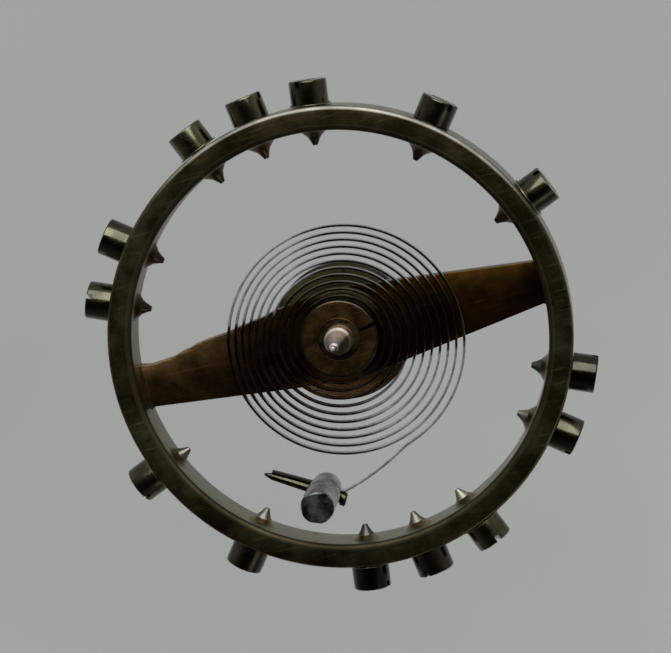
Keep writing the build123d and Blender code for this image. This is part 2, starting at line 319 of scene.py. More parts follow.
def turned(name, outline, sides=post_sides, closed=False):
    """A piece turned on the Z axis from an outline of (radius, height) points."""
    vertices = []
    rings = []
    for radius, height in outline:
        count = sides if radius else 1
        rings.append(range(len(vertices), len(vertices) + count))
        for k in range(count):
            angle = 2 * math.pi * k / sides
            vertices.append((radius * math.cos(angle), radius * math.sin(angle), height))
    following = rings[1:] + rings[:1] if closed else rings[1:]
    faces = []
    for low, high in zip(rings, following):
        for k in range(sides):
            corners = [low[k % len(low)], low[(k + 1) % sides % len(low)],
                       high[(k + 1) % sides % len(high)], high[k % len(high)]]
            faces.append(list(dict.fromkeys(corners)))
    return piece_from(name, vertices, faces)


def ring(name, corners, sides, steps=4):
    """A closed ring turned from its section's corners (radius, height, rounding)."""
    return turned(name, softened(corners, closed=True, steps=steps), sides, closed=True)


def stacked(name, sections):
    """A closed skin over a row of cross-sections that have the same number of points."""
    size = len(sections[0])
    vertices = [point for section in sections for point in section]
    faces = [list(range(size)), list(range(len(vertices) - size, len(vertices)))]
    for row in range(len(sections) - 1):
        for k in range(size):
            a = row * size + k
            b = row * size + (k + 1) % size
            faces.append([a, b, b + size, a + size])
    return piece_from(name, vertices, faces)


def cut(piece, *tools, operation="DIFFERENCE"):
    """Cuts other shapes out of a piece, or makes them one body with it."""
    for tool in tools:
        knife = piece.modifiers.new("cut", "BOOLEAN")
        knife.operation = operation
        knife.solver = "EXACT"
        knife.object = tool
        settle(piece)
        bpy.data.objects.remove(tool)
    return piece


def joined(name, pieces):
    """Several shells of one piece as one mesh."""
    whole = bmesh.new()
    for piece in pieces:
        whole.from_mesh(piece.data)
        bpy.data.objects.remove(piece)
    mesh = bpy.data.meshes.new(name)
    whole.to_mesh(mesh)
    whole.free()
    return in_scene(name, mesh)


def rod(name, radius, bottom, top, sides):
    """A plain round cutting rod."""
    return turned(name, [(0, top), (radius, top), (radius, bottom), (0, bottom)], sides=sides)


def block(name, size, middle):
    """A plain square cutting block."""
    corners = [(-1, -1), (1, -1), (1, 1), (-1, 1)]
    half = Vector(size) / 2
    return stacked(name, [[middle + half * Vector((x, y, z)) for x, y in corners] for z in (-1, 1)])


def moved(piece, matrix):
    piece.data.transform(matrix)
    return piece


def along_line(start, way):
    """The move that takes +Z at the origin to a start point and a way to go."""
    return Matrix.Translation(start) @ way.to_track_quat("Z", "Y").to_matrix().to_4x4()


def crisp(piece, turn=sharp_turn):
    """Smooth curved faces, flat flats, and sharp edges where faces turn by more than some degrees."""
    piece.data.shade_smooth()
    piece.data.set_sharp_from_angle(angle=math.radians(turn))
    even = piece.modifiers.new("even", "WEIGHTED_NORMAL")
    even.keep_sharp = True
    even.weight = 100
    return settle(piece)


def fit(piece, body, slot, finish, *nodes):
    """Gives a finished piece its material, its body and the solids that it stands for."""
    piece.data.materials.clear()
    piece.data.materials.append(finish)
    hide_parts(*nodes)
    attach(piece, body)


# Node trees

def feed(fed, inputs):
    """Links or sets the named inputs of a node."""
    for key, value in inputs.items():
        socket = fed.inputs[key]
        if isinstance(value, bpy.types.NodeSocket):
            fed.id_data.links.new(value, socket)
        elif socket.type == "RGBA":
            socket.default_value = (*value, 1)
        else:
            socket.default_value = value
    return fed


def node(tree, kind, inputs=None, **settings):
    """One node of a tree, with its settings and inputs."""
    made = tree.nodes.new(kind)
    for key, value in settings.items():
        setattr(made, key, value)
    return feed(made, inputs or {})


def shaping_tree(name, **sockets):
    """An empty Geometry Nodes tree with named inputs."""
    tree = bpy.data.node_groups.new(name, "GeometryNodeTree")
    tree.interface.new_socket("Geometry", in_out="INPUT", socket_type="NodeSocketGeometry")
    for label, kind in sockets.items():
        tree.interface.new_socket(label.replace("_", " "), in_out="INPUT", socket_type=kind)
    tree.interface.new_socket("Geometry", in_out="OUTPUT", socket_type="NodeSocketGeometry")
    return tree, node(tree, "NodeGroupInput").outputs


def end_tree(tree, shape, finish):
    solid = node(tree, "GeometryNodeRealizeInstances", {"Geometry": shape}).outputs["Geometry"]
    dressed = node(tree, "GeometryNodeSetMaterial", {"Geometry": solid, "Material": finish})
    node(tree, "NodeGroupOutput", {"Geometry": dressed.outputs["Geometry"]})


def shape_with(piece, tree, **values):
    """Runs a tree on a piece with its named inputs, and keeps the plain mesh it makes."""
    shaper = piece.modifiers.new("shape", "NODES")
    shaper.node_group = tree
    for item in tree.interface.items_tree:
        key = item.name.replace(" ", "_")
        if item.in_out == "INPUT" and key in values:
            shaper[item.identifier] = values[key]
    return settle(piece)


# Node values

def worked(kind, inputs, **settings):
    """A node in the same tree as the values that it works on."""
    linked = [value for value in inputs.values() if isinstance(value, bpy.types.NodeSocket)]
    return node(linked[0].id_data, kind, inputs, **settings)


def maths(operation, *values):
    """What a Math node makes of its values."""
    return worked("ShaderNodeMath", dict(enumerate(values)), operation=operation).outputs[0]


def vector_maths(operation, *values, gives="Vector"):
    """What a Vector Math node makes of its values."""
    return worked("ShaderNodeVectorMath", dict(enumerate(values)), operation=operation).outputs[gives]


def scaled(vector, factor):
    longer = worked("ShaderNodeVectorMath", {"Vector": vector, "Scale": factor}, operation="SCALE")
    return longer.outputs["Vector"]


def dot(first, second):
    return vector_maths("DOT_PRODUCT", first, second, gives="Value")


def one_axis(vector, axis):
    return worked("ShaderNodeSeparateXYZ", {"Vector": vector}).outputs[axis]


def sum_of(first, second, share=1.0):
    """first + second * share"""
    return maths("MULTIPLY_ADD", second, share, first)


def combined(operation, values):
    """One value from several, worked out two at a time."""
    whole = values[0]
    for value in values[1:]:
        whole = maths(operation, whole, value)
    return whole


def levels(value, low, high, to_low=0.0, to_high=1.0):
    """Spreads the part of a value between low and high over new values."""
    spread = worked(
        "ShaderNodeMapRange",
        {"Value": value, "From Min": low, "From Max": high, "To Min": to_low, "To Max": to_high},
        interpolation_type="SMOOTHSTEP",
    )
    return spread.outputs["Result"]


def opposite(share):
    """0 where a share is 1, and 1 where it is 0."""
    return levels(share, 1, 0)


def blend_colours(share, first, second):
    """The first colour where the share is 0, going over to the second where it is 1."""
    return worked("ShaderNodeMix", {0: share, 6: first, 7: second}, data_type="RGBA").outputs[2]


# Places on the object, in millimetres

def in_plane(place):
    return vector_maths("MULTIPLY", place, (1, 1, 0))


def distance_from_staff(place):
    return vector_maths("LENGTH", in_plane(place), gives="Value")


def across_the_wheel(place, way, low, high):
    """0 on one side of the wheel and 1 on the other, going along a direction in degrees."""
    return levels(dot(place, direction(way)), low, high)


def upwards(place, low, high):
    """0 below one height and 1 above another."""
    return levels(one_axis(place, "Z"), low, high)


def facing_up(place, wall_end, rounding=0.5):
    """1 on faces that lie flat, 0 on walls. Roundings go over from one to the other from wall_end."""
    normal = node(place.id_data, "ShaderNodeTexCoord").outputs["Normal"]
    lying = maths("ABSOLUTE", one_axis(normal, "Z"))
    return levels(lying, wall_end, wall_end + rounding)


def worn_edges(place):
    """1 along the edges of a piece, where handling has rubbed them, and 0 away from them."""
    tree = place.id_data
    eased = node(tree, "ShaderNodeBevel", {"Radius": worn_edge_width}, samples=4).outputs["Normal"]
    normal = node(tree, "ShaderNodeNewGeometry").outputs["Normal"]
    return levels(dot(eased, normal), 0.995, 0.90)


def region(from_staff=None, height=None, across=None):
    """A part of a piece, as a function that gives 1 inside it and 0 outside. Each limit is a pair:
    where it starts and where it is full. The one across the wheel has its direction before it."""
    def share(place):
        shares = []
        if from_staff:
            shares.append(levels(distance_from_staff(place), *from_staff))
        if height:
            shares.append(upwards(place, *height))
        if across:
            shares.append(across_the_wheel(place, *across))
        return combined("MULTIPLY", shares)
    return share


def either(*regions):
    """All of several regions as one."""
    return lambda place: combined("MAXIMUM", [share(place) for share in regions])


def overlap(*regions):
    """What several regions share."""
    return lambda place: combined("MULTIPLY", [share(place) for share in regions])


def stud_blotches(place):
    """Oil and dirt on the stud, thicker towards its foot."""
    dirt = levels(speckle(place, 3.4, offset=3.7), 0.36, 0.64)
    return maths("MULTIPLY", dirt, upwards(place, 1.72, 0.9))


def strip_walls(place):
    """The hairspring's walls, wherever they are."""
    return opposite(facing_up(place, 0.0))


def over_the_arms(place):
    """1 over the arms and the hub, 0 away from them."""
    sideways = maths("ABSOLUTE", one_axis(place, "Y"))
    near_hub = levels(distance_from_staff(place), 1.45, 1.30)
    return maths("MAXIMUM", levels(sideways, 0.90, 0.66), near_hub)


def pale_sides_of_coils(place):
    """Two sides of the coils away from the arms, where their upper edge catches the window."""
    way = vector_maths("NORMALIZE", in_plane(place))
    along = maths("ABSOLUTE", dot(way, direction(134)))
    free = opposite(over_the_arms(place))
    return maths("MULTIPLY", levels(along, 0.56, 0.94), free)


# The half of the wheel on the stud's side and towards the arm on +X, whose inner wall faces the window
nearer_half = region(across=(-80, -1.0, 2.2))

# The rim's walls, all of the outer one and the half of the inner one that faces the window, where that pale
# half is a painted light, and its roundings
outer_wall_and_painted_lit_inner_wall = either(region(from_staff=(4.35, 4.55)), nearer_half)
# Painted highlight: the outer rounding paler on the window's side
rim_outer_edge = region(from_staff=(4.60, 4.64), height=(0.38, 0.42), across=(74, 2.4, 3.7))
# Painted shade: the inner rounding darkened all round
rim_inner_edge = region(from_staff=(4.36, 4.32), height=(0.36, 0.42))

# The arms and the hub, below the front of the rim, and the screws' ends
inside_the_rim = region(from_staff=(4.205, 4.19))
left_arm = overlap(inside_the_rim, region(height=(-0.10, -0.15), across=(180, 1.2, 3.2)))
# Painted light: the hub's top paler on the window's side
painted_lit_side_of_hub = region(from_staff=(1.02, 0.98), height=(-0.3, -0.25), across=(70, 0.55, 0.85))
dull_places = either(rim_outer_edge, rim_inner_edge, painted_lit_side_of_hub)
screw_points = region(from_staff=(4.30, 4.20))
# Painted light: the screws' points paler and matt on the stud's side, where they face the window
painted_lit_screw_points = overlap(screw_points, nearer_half)

# The staff's upper cone and the browned step round it, and what sits on the staff
cone = region(from_staff=(0.29, 0.27), height=(0.40, 0.45))
# Painted shade: one side of the cone darker
shaded_side_of_cone = overlap(cone, region(across=(-65, -0.02, 0.06)))
round_the_stub = region(from_staff=(0.275, 0.295))
# Painted shade: the collet's outer rounding darkened all round
collet_edge = region(from_staff=(0.735, 0.755))
# Painted shade: the roller darker and browner on the stud's side
near_side_of_roller = region(across=(-74, 0.2, 1.0))
far_side_of_roller = region(across=(90, 0.5, 0.9))
# Painted shade: the roller's rounding darkened all round
roller_edge = region(from_staff=(1.38, 1.40))

# The hairspring's coils, its run to the stud and its tail beyond it, and the stud's foot
# Painted shade: the strip's walls darkened over the arms and the hub
walls_over_the_arms = overlap(over_the_arms, strip_walls)
# Painted shade: the strip's walls darkened over the roller's far side
walls_over_the_roller = overlap(region(from_staff=(1.50, 1.42)), far_side_of_roller, strip_walls)
pale_sides_of_spring = either(pale_sides_of_coils, region(from_staff=(2.42, 2.52)))
spring_tail = region(from_staff=(2.55, 2.60), across=(stud_hole_angle, -0.60, -0.50))
stud_foot_edge = region(height=(-0.03, -0.06))


# Patterns

def speckle(place, per_mm, detail=3.0, roughness=0.55, offset=0.0):
    """Noise from 0 to 1 with a number of spots for each millimetre."""
    shifted = vector_maths("ADD", place, (offset, offset, offset))
    spots = worked(
        "ShaderNodeTexNoise",
        {"Vector": shifted, "Scale": per_mm, "Detail": detail, "Roughness": roughness},
    )
    return spots.outputs["Fac"]


def lathe_lines(place, per_mm=22.0):
    """Fine rings round the staff, as a lathe tool leaves them."""
    rings = worked(
        "ShaderNodeTexNoise", {"W": distance_from_staff(place), "Scale": per_mm, "Detail": 2.0},
        noise_dimensions="1D",
    )
    return rings.outputs["Fac"]


def scratches(place, per_mm, turn):
    """Short straight hairlines that run one way."""
    stretched = worked(
        "ShaderNodeMapping",
        {"Vector": place, "Rotation": (0, 0, math.radians(turn)), "Scale": (0.06, 1.0, 0.4)},
    )
    return levels(speckle(stretched.outputs[0], per_mm, detail=2.0), 0.60, 0.74)


def patched(place, cloud, colour, patches, darkest=0.5):
    """A colour with patches of other tones over it, each a little cloudy."""
    for tone, where in patches:
        cloudy = blend_colours(cloud, tuple(value * darkest for value in tone), tone)
        colour = blend_colours(where(place), colour, cloudy)
    return colour


# Finishes of the pieces

def new_finish(name):
    """A new material, its shader, and the place on the object in millimetres."""
    material = bpy.data.materials.new(name)
    material.use_nodes = True
    tree = material.node_tree
    place = scaled(node(tree, "ShaderNodeTexCoord").outputs["Object"], 1 / mm)
    return material, tree.nodes["Principled BSDF"], place


def metal_finish(name, bright, dull, patina, roughness, lines=0.0, spots=1.6, hairlines=0.2, grain=0.35,
                 walls=None, wall_roughness=0.3, wall_end=0.25, wall_stains=0.5, wall_colour_where=None,
                 other_side=None, patches=(), edges=(), matt=None, film=0.0, worn=0.3, own_tones=False):
    """A metal that is bright where it is rubbed and browned where it isn't, with fine tool marks.
    Its walls may have a colour of their own where a given share says so, its tone may change across the
    wheel, patches and edges of it may have a tone of their own, which in some finishes are painted light or
    shade, places on it may be matt, and a thin film of oil or oxide may lie over it."""
    material, shader, place = new_finish(name)
    cloud = levels(speckle(place, spots, detail=5.0, roughness=0.62), 0.30, 0.70)
    stain = levels(speckle(place, spots * 3.1, detail=4.0, roughness=0.6, offset=7.3), 0.50, 0.78)
    fine = speckle(place, 14.0, roughness=0.6, offset=2.1)
    marks = sum_of(scratches(place, 18.0, 27), scratches(place, 15.0, -48))

    colour = blend_colours(cloud, dull, bright)
    if other_side:
        share = across_the_wheel(place, -115, -rim_outer_radius / mm, rim_outer_radius / mm)
        colour = blend_colours(share, colour, blend_colours(cloud, dull, other_side))
    colour = patched(place, cloud, colour, patches)
    colour = blend_colours(levels(stain, 0, 1, 0.0, 0.6), colour, patina)
    low, high = roughness
    rough = levels(cloud, 0, 1, high, low)
    if walls:
        flat = facing_up(place, wall_end)
        wall_tone = blend_colours(levels(stain, 0, 1, 0.0, wall_stains), walls, dull)
        if wall_colour_where:
            wall_tone = blend_colours(wall_colour_where(place), colour, wall_tone)
        colour = blend_colours(flat, wall_tone, colour)
        rough = sum_of(levels(flat, 0, 1, wall_roughness, (low + high) / 2), cloud, 0.06)
    colour = patched(place, cloud, colour, edges)
    if own_tones:
        tone = node(place.id_data, "ShaderNodeAttribute", attribute_name="tone").outputs["Fac"]
        colour = scaled(colour, levels(tone, 0, 1, 0.4, 2.2))
    if worn:
        edge = levels(worn_edges(place), 0, 1, 0.0, worn)
        colour = blend_colours(edge, colour, walls or bright)
    if matt:
        rough = maths("MAXIMUM", rough, levels(matt(place), 0, 1, 0.0, 0.5))
    rough = sum_of(sum_of(rough, marks, 0.08), fine, 0.05)

    relief = sum_of(maths("MULTIPLY", fine, grain), marks, -hairlines)
    if lines:
        relief = sum_of(relief, lathe_lines(place), lines)
    bump = worked("ShaderNodeBump", {"Height": relief, "Strength": 0.35, "Distance": relief_depth})
    feed(shader, {
        "Base Color": colour, "Metallic": 1, "Roughness": rough, "Normal": bump.outputs["Normal"],
        "Coat Weight": film, "Coat Roughness": 0.12, "Coat IOR": 1.6,
    })
    return material


def wheel_metal():
    """Old nickel brass, browned on the arms, paler on the outer wall and dull on its roundings, with painted
    light on the half of the inner wall that faces the window and on the hub's far side, a painted highlight
    on the outer rounding on the window's side and painted shade on the inner rounding.
    """
    return metal_finish(
        "wheel_metal", (0.145, 0.108, 0.054), dull=(0.076, 0.056, 0.024), patina=(0.040, 0.027, 0.012),
        roughness=(0.16, 0.30), lines=0.4, spots=1.1, hairlines=0.12, worn=0.0, matt=dull_places,
        # The half of the inner wall that faces the window keeps the paler wall colour as a painted light
        walls=(0.212, 0.206, 0.134), wall_roughness=0.26, wall_stains=0.8, wall_colour_where=outer_wall_and_painted_lit_inner_wall,
        other_side=(0.150, 0.145, 0.066),
        patches=[((0.074, 0.036, 0.008), inside_the_rim), ((0.190, 0.106, 0.044), left_arm),
                 # Painted light on the hub's top on the window's side
                 ((0.33, 0.255, 0.15), painted_lit_side_of_hub)],
        # Painted shade on the inner rounding, and a painted highlight on the outer rounding on the window's
        # side
        edges=[((0.046, 0.037, 0.020), rim_inner_edge), ((0.25, 0.24, 0.205), rim_outer_edge)],
    )


def screw_metal():
    """Darker brass under a film of oil, each screw with a tone of its own, its point paler on one side as a
    painted light.
    """
    return metal_finish(
        "screw_metal", (0.052, 0.052, 0.027), dull=(0.022, 0.021, 0.009), patina=(0.010, 0.009, 0.004),
        roughness=(0.12, 0.26), spots=2.6, grain=0.2, film=0.28, matt=painted_lit_screw_points, own_tones=True,
        # The paler points on the stud's side are a painted light
        patches=[((0.035, 0.024, 0.010), screw_points), ((0.155, 0.15, 0.115), painted_lit_screw_points)],
    )


def washer_metal():
    return metal_finish(
        "washer_metal", (0.20, 0.18, 0.12), dull=(0.10, 0.09, 0.055), patina=(0.05, 0.04, 0.02),
        roughness=(0.22, 0.36), spots=3.0,
    )


def collet_metal():
    return metal_finish(
        "collet_metal", (0.21, 0.128, 0.046), dull=(0.13, 0.076, 0.026), patina=(0.04, 0.022, 0.010),
        roughness=(0.14, 0.28), lines=0.4, spots=3.0, worn=0.0, walls=(0.12, 0.10, 0.07),
        # Painted shade on the outer rounding
        edges=[((0.05, 0.040, 0.026), collet_edge)],
    )


def pin_brass():
    return metal_finish(
        "pin_brass", (0.050, 0.050, 0.034), dull=(0.028, 0.027, 0.018), patina=(0.012, 0.011, 0.007),
        roughness=(0.12, 0.24), spots=5.0,
    )


def roller_metal():
    """Turned brass, darker and browner on the stud's side as painted shade, with its rounding darkened as
    painted shade too.
    """
    return metal_finish(
        "roller_metal", (0.180, 0.170, 0.090), dull=(0.110, 0.102, 0.050), patina=(0.030, 0.022, 0.011),
        roughness=(0.14, 0.28), lines=0.6, spots=2.0, worn=0.0, matt=far_side_of_roller,
        # Painted shade on the stud's side and on the rounding
        walls=(0.09, 0.085, 0.045), patches=[((0.130, 0.074, 0.030), near_side_of_roller)],
        edges=[((0.040, 0.040, 0.026), roller_edge)],
    )


def polished_steel():
    """Pale steel, browned round the upper cone, with painted shade on one side of the cone."""
    return metal_finish(
        "polished_steel", (0.61, 0.55, 0.52), dull=(0.38, 0.34, 0.31), patina=(0.16, 0.13, 0.11),
        roughness=(0.16, 0.30), spots=4.0, hairlines=0.1, grain=0.15, matt=cone,
        # Painted shade on one side of the cone
        patches=[((0.17, 0.11, 0.05), round_the_stub), ((0.16, 0.12, 0.07), shaded_side_of_cone)],
    )


def spring_steel():
    """Dark strip steel with bright walls, its upper edge paler on two sides of the coils as a painted
    highlight, its top given the arms' brown over the arms, and painted shade on its walls over the arms and
    over the roller's far side.
    """
    return metal_finish(
        "spring_steel", (0.035, 0.031, 0.028), dull=(0.022, 0.019, 0.018), patina=(0.015, 0.012, 0.010),
        roughness=(0.16, 0.28), spots=3.0, hairlines=0.0, grain=0.1, worn=0.0, matt=pale_sides_of_spring,
        walls=(0.60, 0.60, 0.62), wall_roughness=0.24, wall_end=0.0, wall_stains=0.25,
        # Painted highlight on two sides of the coils, and the strip's top given the arms' brown over the
        # arms
        patches=[((0.345, 0.335, 0.347), pale_sides_of_spring), ((0.034, 0.021, 0.011), over_the_arms)],
        # Painted shade on the walls over the arms and over the roller's far side
        edges=[((0.20, 0.18, 0.16), walls_over_the_arms), ((0.36, 0.37, 0.34), walls_over_the_roller),
               ((0.025, 0.025, 0.017), spring_tail)],
    )


def stud_steel():
    """Rough steel with dark blotches, its flat ends darker than its wall."""
    return metal_finish(
        "stud_steel", (0.175, 0.19, 0.18), dull=(0.010, 0.013, 0.012), patina=(0.012, 0.014, 0.013),
        roughness=(0.22, 0.42), spots=3.2, grain=0.25, worn=0.1,
        walls=(0.43, 0.435, 0.42), wall_roughness=0.30, wall_stains=0.6,
        edges=[((0.06, 0.065, 0.06), stud_foot_edge), ((0.085, 0.09, 0.085), stud_blotches)],
    )


def ruby():
    """Polished ruby with faint clouds inside."""
    material, shader, place = new_finish("ruby")
    cloud = levels(speckle(place, 6.0), 0.35, 0.65)
    feed(shader, {
        "Base Color": blend_colours(cloud, (0.50, 0.01, 0.06), (0.72, 0.04, 0.14)),
        "Roughness": levels(speckle(place, 30.0), 0.3, 0.7, 0.03, 0.10),
        "Transmission Weight": 0.6, "IOR": 1.77,
    })
    return material


# Rim, arms and hub

# The left arm's edge on the +Y side, in millimetres from the staff and from the arms' middle line
left_upper_edge = [
    (-4.21, 0.470), (-3.98, 0.418), (-3.80, 0.422), (-3.54, 0.440), (-3.15, 0.523), (-2.91, 0.585),
    (-2.62, 0.620), (-2.34, 0.640), (-1.94, 0.700), (-1.59, 0.745), (-1.20, 0.815),
]


def arm_half_width(x):
    """Half the width of the arms at a place along them, straight to the hub, with a flare at the rim."""
    wide = max(hub_radius - (hub_radius - arm_end_half_width) * abs(x) / rim_inner_radius,
               math.sqrt(max(hub_radius ** 2 - x ** 2, 0)))
    into_fillet = min(max(abs(x) - (rim_inner_radius - arm_fillet - arm_edge_round), 0), arm_fillet)
    return wide + arm_fillet - math.sqrt(arm_fillet ** 2 - into_fillet ** 2)


def upper_edge(x):
    """The arms' edge on the +Y side, which is hollow near the left end."""
    for (x0, y0), (x1, y1) in zip(left_upper_edge, left_upper_edge[1:]):
        if x0 * mm <= x <= x1 * mm:
            t = (x / mm - x0) / (x1 - x0)
            return (y0 + (y1 - y0) * t * t * (3 - 2 * t)) * mm
    return arm_half_width(x)


def arms():
    """The flat bar of the two arms and the hub, skinned over cross-sections from end to end."""
    sections = []
    for t in even_shares(arm_stations):
        x = arm_root_radius * (2 * t - 1)
        low = -arm_half_width(x)
        high = upper_edge(x)
        section = softened([
            (low, rim_bottom, arm_edge_round), (high, rim_bottom, arm_edge_round),
            (high, arm_top, arm_edge_round), (low, arm_top, arm_edge_round),
        ], closed=True, steps=2)
        sections.append([(x, y, z) for y, z in section])
    bore = rod("bore", wheel_bore, 2 * rim_bottom, rim_top, post_sides)
    return cut(stacked("arms", sections), bore)


def rim():
    """The rim's ring, its edges rounded more at the front than at the back."""
    return ring("rim", [
        (rim_inner_radius, rim_bottom, rim_back_round),
        (rim_outer_radius, rim_bottom, rim_back_round),
        (rim_outer_radius, rim_top, rim_outer_round),
        (rim_inner_radius, rim_top, rim_inner_round),
    ], rim_sides, steps=6)


def row_of_screws(name, wanted):
    """One point for each wanted screw, with its slot's turn and its place round the rim, its tone,
    and its lift, which is a washer's thickness at the washed screws."""
    mesh = mesh_from(name, [(0, 0, 0)] * len(wanted))
    turns, lifts, tones = [], [], []
    for k in wanted:
        half_turns, place = divmod(k, len(screw_angles))
        turns += [math.radians(slot_angles[k]), 0, math.radians(screw_angles[place] + 180 * half_turns)]
        lifts += [washer_thickness if k in washed_screws else 0, 0, 0]
        tones.append(screw_tones.get(k, plain_screw_tone))
    keep_on_points(mesh, "turn", turns, "FLOAT_VECTOR")
    keep_on_points(mesh, "lift", lifts, "FLOAT_VECTOR")
    keep_on_points(mesh, "tone", tones)
    return in_scene(name, mesh)


def round_the_rim_tree():
    """Sets copies of one shape round the rim as the row's points say."""
    tree, given = shaping_tree("round_the_rim", Shape="NodeSocketObject", Finish="NodeSocketMaterial")
    shape = node(tree, "GeometryNodeObjectInfo", {"Object": given["Shape"], "As Instance": True})
    turn = node(tree, "GeometryNodeInputNamedAttribute", {"Name": "turn"}, data_type="FLOAT_VECTOR")
    lift = node(tree, "GeometryNodeInputNamedAttribute", {"Name": "lift"}, data_type="FLOAT_VECTOR")
    way = node(tree, "FunctionNodeEulerToRotation", {"Euler": turn.outputs["Attribute"]})
    copies = node(tree, "GeometryNodeInstanceOnPoints", {
        "Points": given["Geometry"], "Instance": shape.outputs["Geometry"], "Rotation": way.outputs[0],
    })
    lifted = node(tree, "GeometryNodeTranslateInstances", {
        "Instances": copies.outputs["Instances"], "Translation": lift.outputs["Attribute"],
        "Local Space": True,
    })
    end_tree(tree, lifted.outputs["Instances"], given["Finish"])
    return tree


def set_round_the_rim(name, tree, shape, finish, wanted=range(screw_count)):
    """Copies of a shape at all screws, or only at the wanted ones."""
    row = shape_with(row_of_screws(name, wanted), tree, Shape=shape, Finish=finish)
    bpy.data.objects.remove(shape)
    return row


def collar():
    """The metal that the tap raised round a screw hole, flowing into the rim's inner wall."""
    outline = [(0, rim_inner_radius - burr_height)]
    for t in even_shares(curve_steps):
        radius = screw_shank_radius + (burr_radius - screw_shank_radius) * t
        outline.append((radius, rim_inner_radius - burr_height * (1 - t) ** burr_flare_power + burr_lip * t))
    outline += [(burr_radius, rim_inner_radius + burr_height), (0, rim_inner_radius + burr_height)]
    return moved(turned("collar", outline, sides=pin_sides), on_x)


def balance_wheel(tree, finish):
    collars = set_round_the_rim("collars", tree, collar(), finish)
    body = cut(rim(), arms(), operation="UNION")
    return crisp(joined("wheel", [body, collars]))


# Timing screws and washers

def screw_shape():
    """Cheese-head screw along +X with a pointed tip that flares into its shank."""
    outline = [(0, screw_tip_place)]
    for t in even_shares(curve_steps):
        widened = (1 - screw_flare_share) * t + screw_flare_share * t ** 3
        radius = screw_tip_radius + (screw_shank_radius - screw_tip_radius) * widened
        outline.append((radius, screw_tip_place + (screw_flare_place - screw_tip_place) * t))
    seat = rim_outer_radius
    end = seat + screw_head_length
    outline += softened([
        (screw_shank_radius, seat, 0),
        (screw_head_radius, seat, screw_seat_round),
        (screw_head_radius, end, screw_head_round),
        (0, end, 0),
    ])
    body = turned("screw", outline, sides=screw_sides)
    depth = screw_slot_depth + cut_overrun
    slot = block("slot", (screw_slot_width, 2 * cut_overrun, depth),
                 up * (end - screw_slot_depth + depth / 2))
    return crisp(moved(cut(body, slot), on_x))


def washer_shape():
    seat = rim_outer_radius
    washer = ring("washer", [
        (screw_shank_radius, seat - washer_sink, 0),
        (washer_radius, seat - washer_sink, washer_seat_round),
        (washer_radius, seat + washer_thickness, washer_face_round),
        (screw_shank_radius, seat + washer_thickness, 0),
    ], screw_sides)
    return crisp(moved(washer, on_x))


# Staff and rollers

def balance_staff():
    """Turned staff: pivots with rounded ends, cones, collet seat, rivet, hub and roller seat."""
    return crisp(turned("staff", softened([
        (0, staff_end, 0),
        (pivot_radius, staff_end, pivot_end_round),
        (pivot_radius, pivot_base, staff_edge_round),
        (cone_tip_radius, pivot_base, cone_tip_round),
        (stub_radius - stub_edge, stub_top + stub_edge, staff_edge_round),
        (stub_radius, stub_top, staff_edge_round),
        (stub_radius, stub_base, 0),
        (collet_seat_radius, stub_base, collet_seat_round),
        (collet_seat_radius, rivet_top, 0),
        (rivet_radius, rivet_top, staff_edge_round),
        (rivet_radius, arm_top, 0),
        (wheel_seat_radius, arm_top, 0),
        (wheel_seat_radius, rim_bottom, 0),
        (staff_hub_radius, rim_bottom, staff_hub_round),
        (staff_hub_radius, staff_hub_bottom, staff_edge_round),
        (roller_seat_radius, staff_hub_bottom, staff_edge_round),
        (roller_seat_radius, lower_cone_start, staff_edge_round),
        (cone_tip_radius, -pivot_base, cone_tip_round),
        (pivot_radius, -pivot_base, staff_edge_round),
        (pivot_radius, -staff_end, pivot_end_round),
        (0, -staff_end, 0),
    ])))


def roller_disc(name, radius, top, bottom, sides):
    bore = roller_seat_radius + seat_clearance
    return ring(name, [
        (bore, bottom, roller_bore_round), (radius, bottom, roller_edge_round),
        (radius, top, roller_edge_round), (bore, top, roller_bore_round),
    ], sides)


def jewel_prism(name, spare, top, bottom, edge):
    """D-shaped rod, its flat facing away from the staff, with its end edges broken."""
    radius = jewel_radius + spare
    flat = jewel_flat + spare
    reach = math.degrees(math.acos(flat / radius))
    outline = [
        direction(jewel_angle + reach + (360 - 2 * reach) * k / jewel_sides) * radius
        for k in range(jewel_sides + 1)
    ]
    middle = direction(jewel_angle) * jewel_orbit
    bevel = edge * radius
    rows = [(bottom, 1 - edge), (bottom + bevel, 1), (top - bevel, 1), (top, 1 - edge)]
    return stacked(name, [
        [middle + point * share + up * height for point in outline] for height, share in rows
    ])


def impulse_roller():
    disc = roller_disc("large_roller", impulse_roller_radius, impulse_roller_top, impulse_roller_bottom,
                       wide_sides)
    hole = jewel_prism("hole", seat_clearance, impulse_roller_top + cut_overrun,
                       impulse_roller_bottom - cut_overrun, 0)
    return crisp(cut(disc, hole))


def safety_roller():
    disc = roller_disc("small_roller", safety_roller_radius, safety_roller_top, safety_roller_bottom,
                       small_roller_sides)
    place = direction(jewel_angle) * safety_roller_radius + up * safety_roller_top
    crescent = rod("crescent", crescent_radius, -cut_overrun, cut_overrun, screw_sides)
    return crisp(cut(disc, moved(crescent, Matrix.Translation(place))))


def impulse_jewel():
    return crisp(jewel_prism("roller_jewel", 0, jewel_top, jewel_bottom, jewel_edge_share))


# Collet

def strip_offset(hole_radius):
    """How far from its middle a pinned hole holds the strip, whose pin fills the other side."""
    return math.sqrt(hole_radius ** 2 - (strip_width / 2) ** 2) - strip_thickness / 2 - seat_clearance


def room_for_pin(hole_radius):
    """The pin's radius in a pinned hole, and the strip's face on that side."""
    strip_face = strip_offset(hole_radius) - strip_thickness / 2 - seat_clearance
    return (strip_face + hole_radius) / 2 - seat_clearance, strip_face


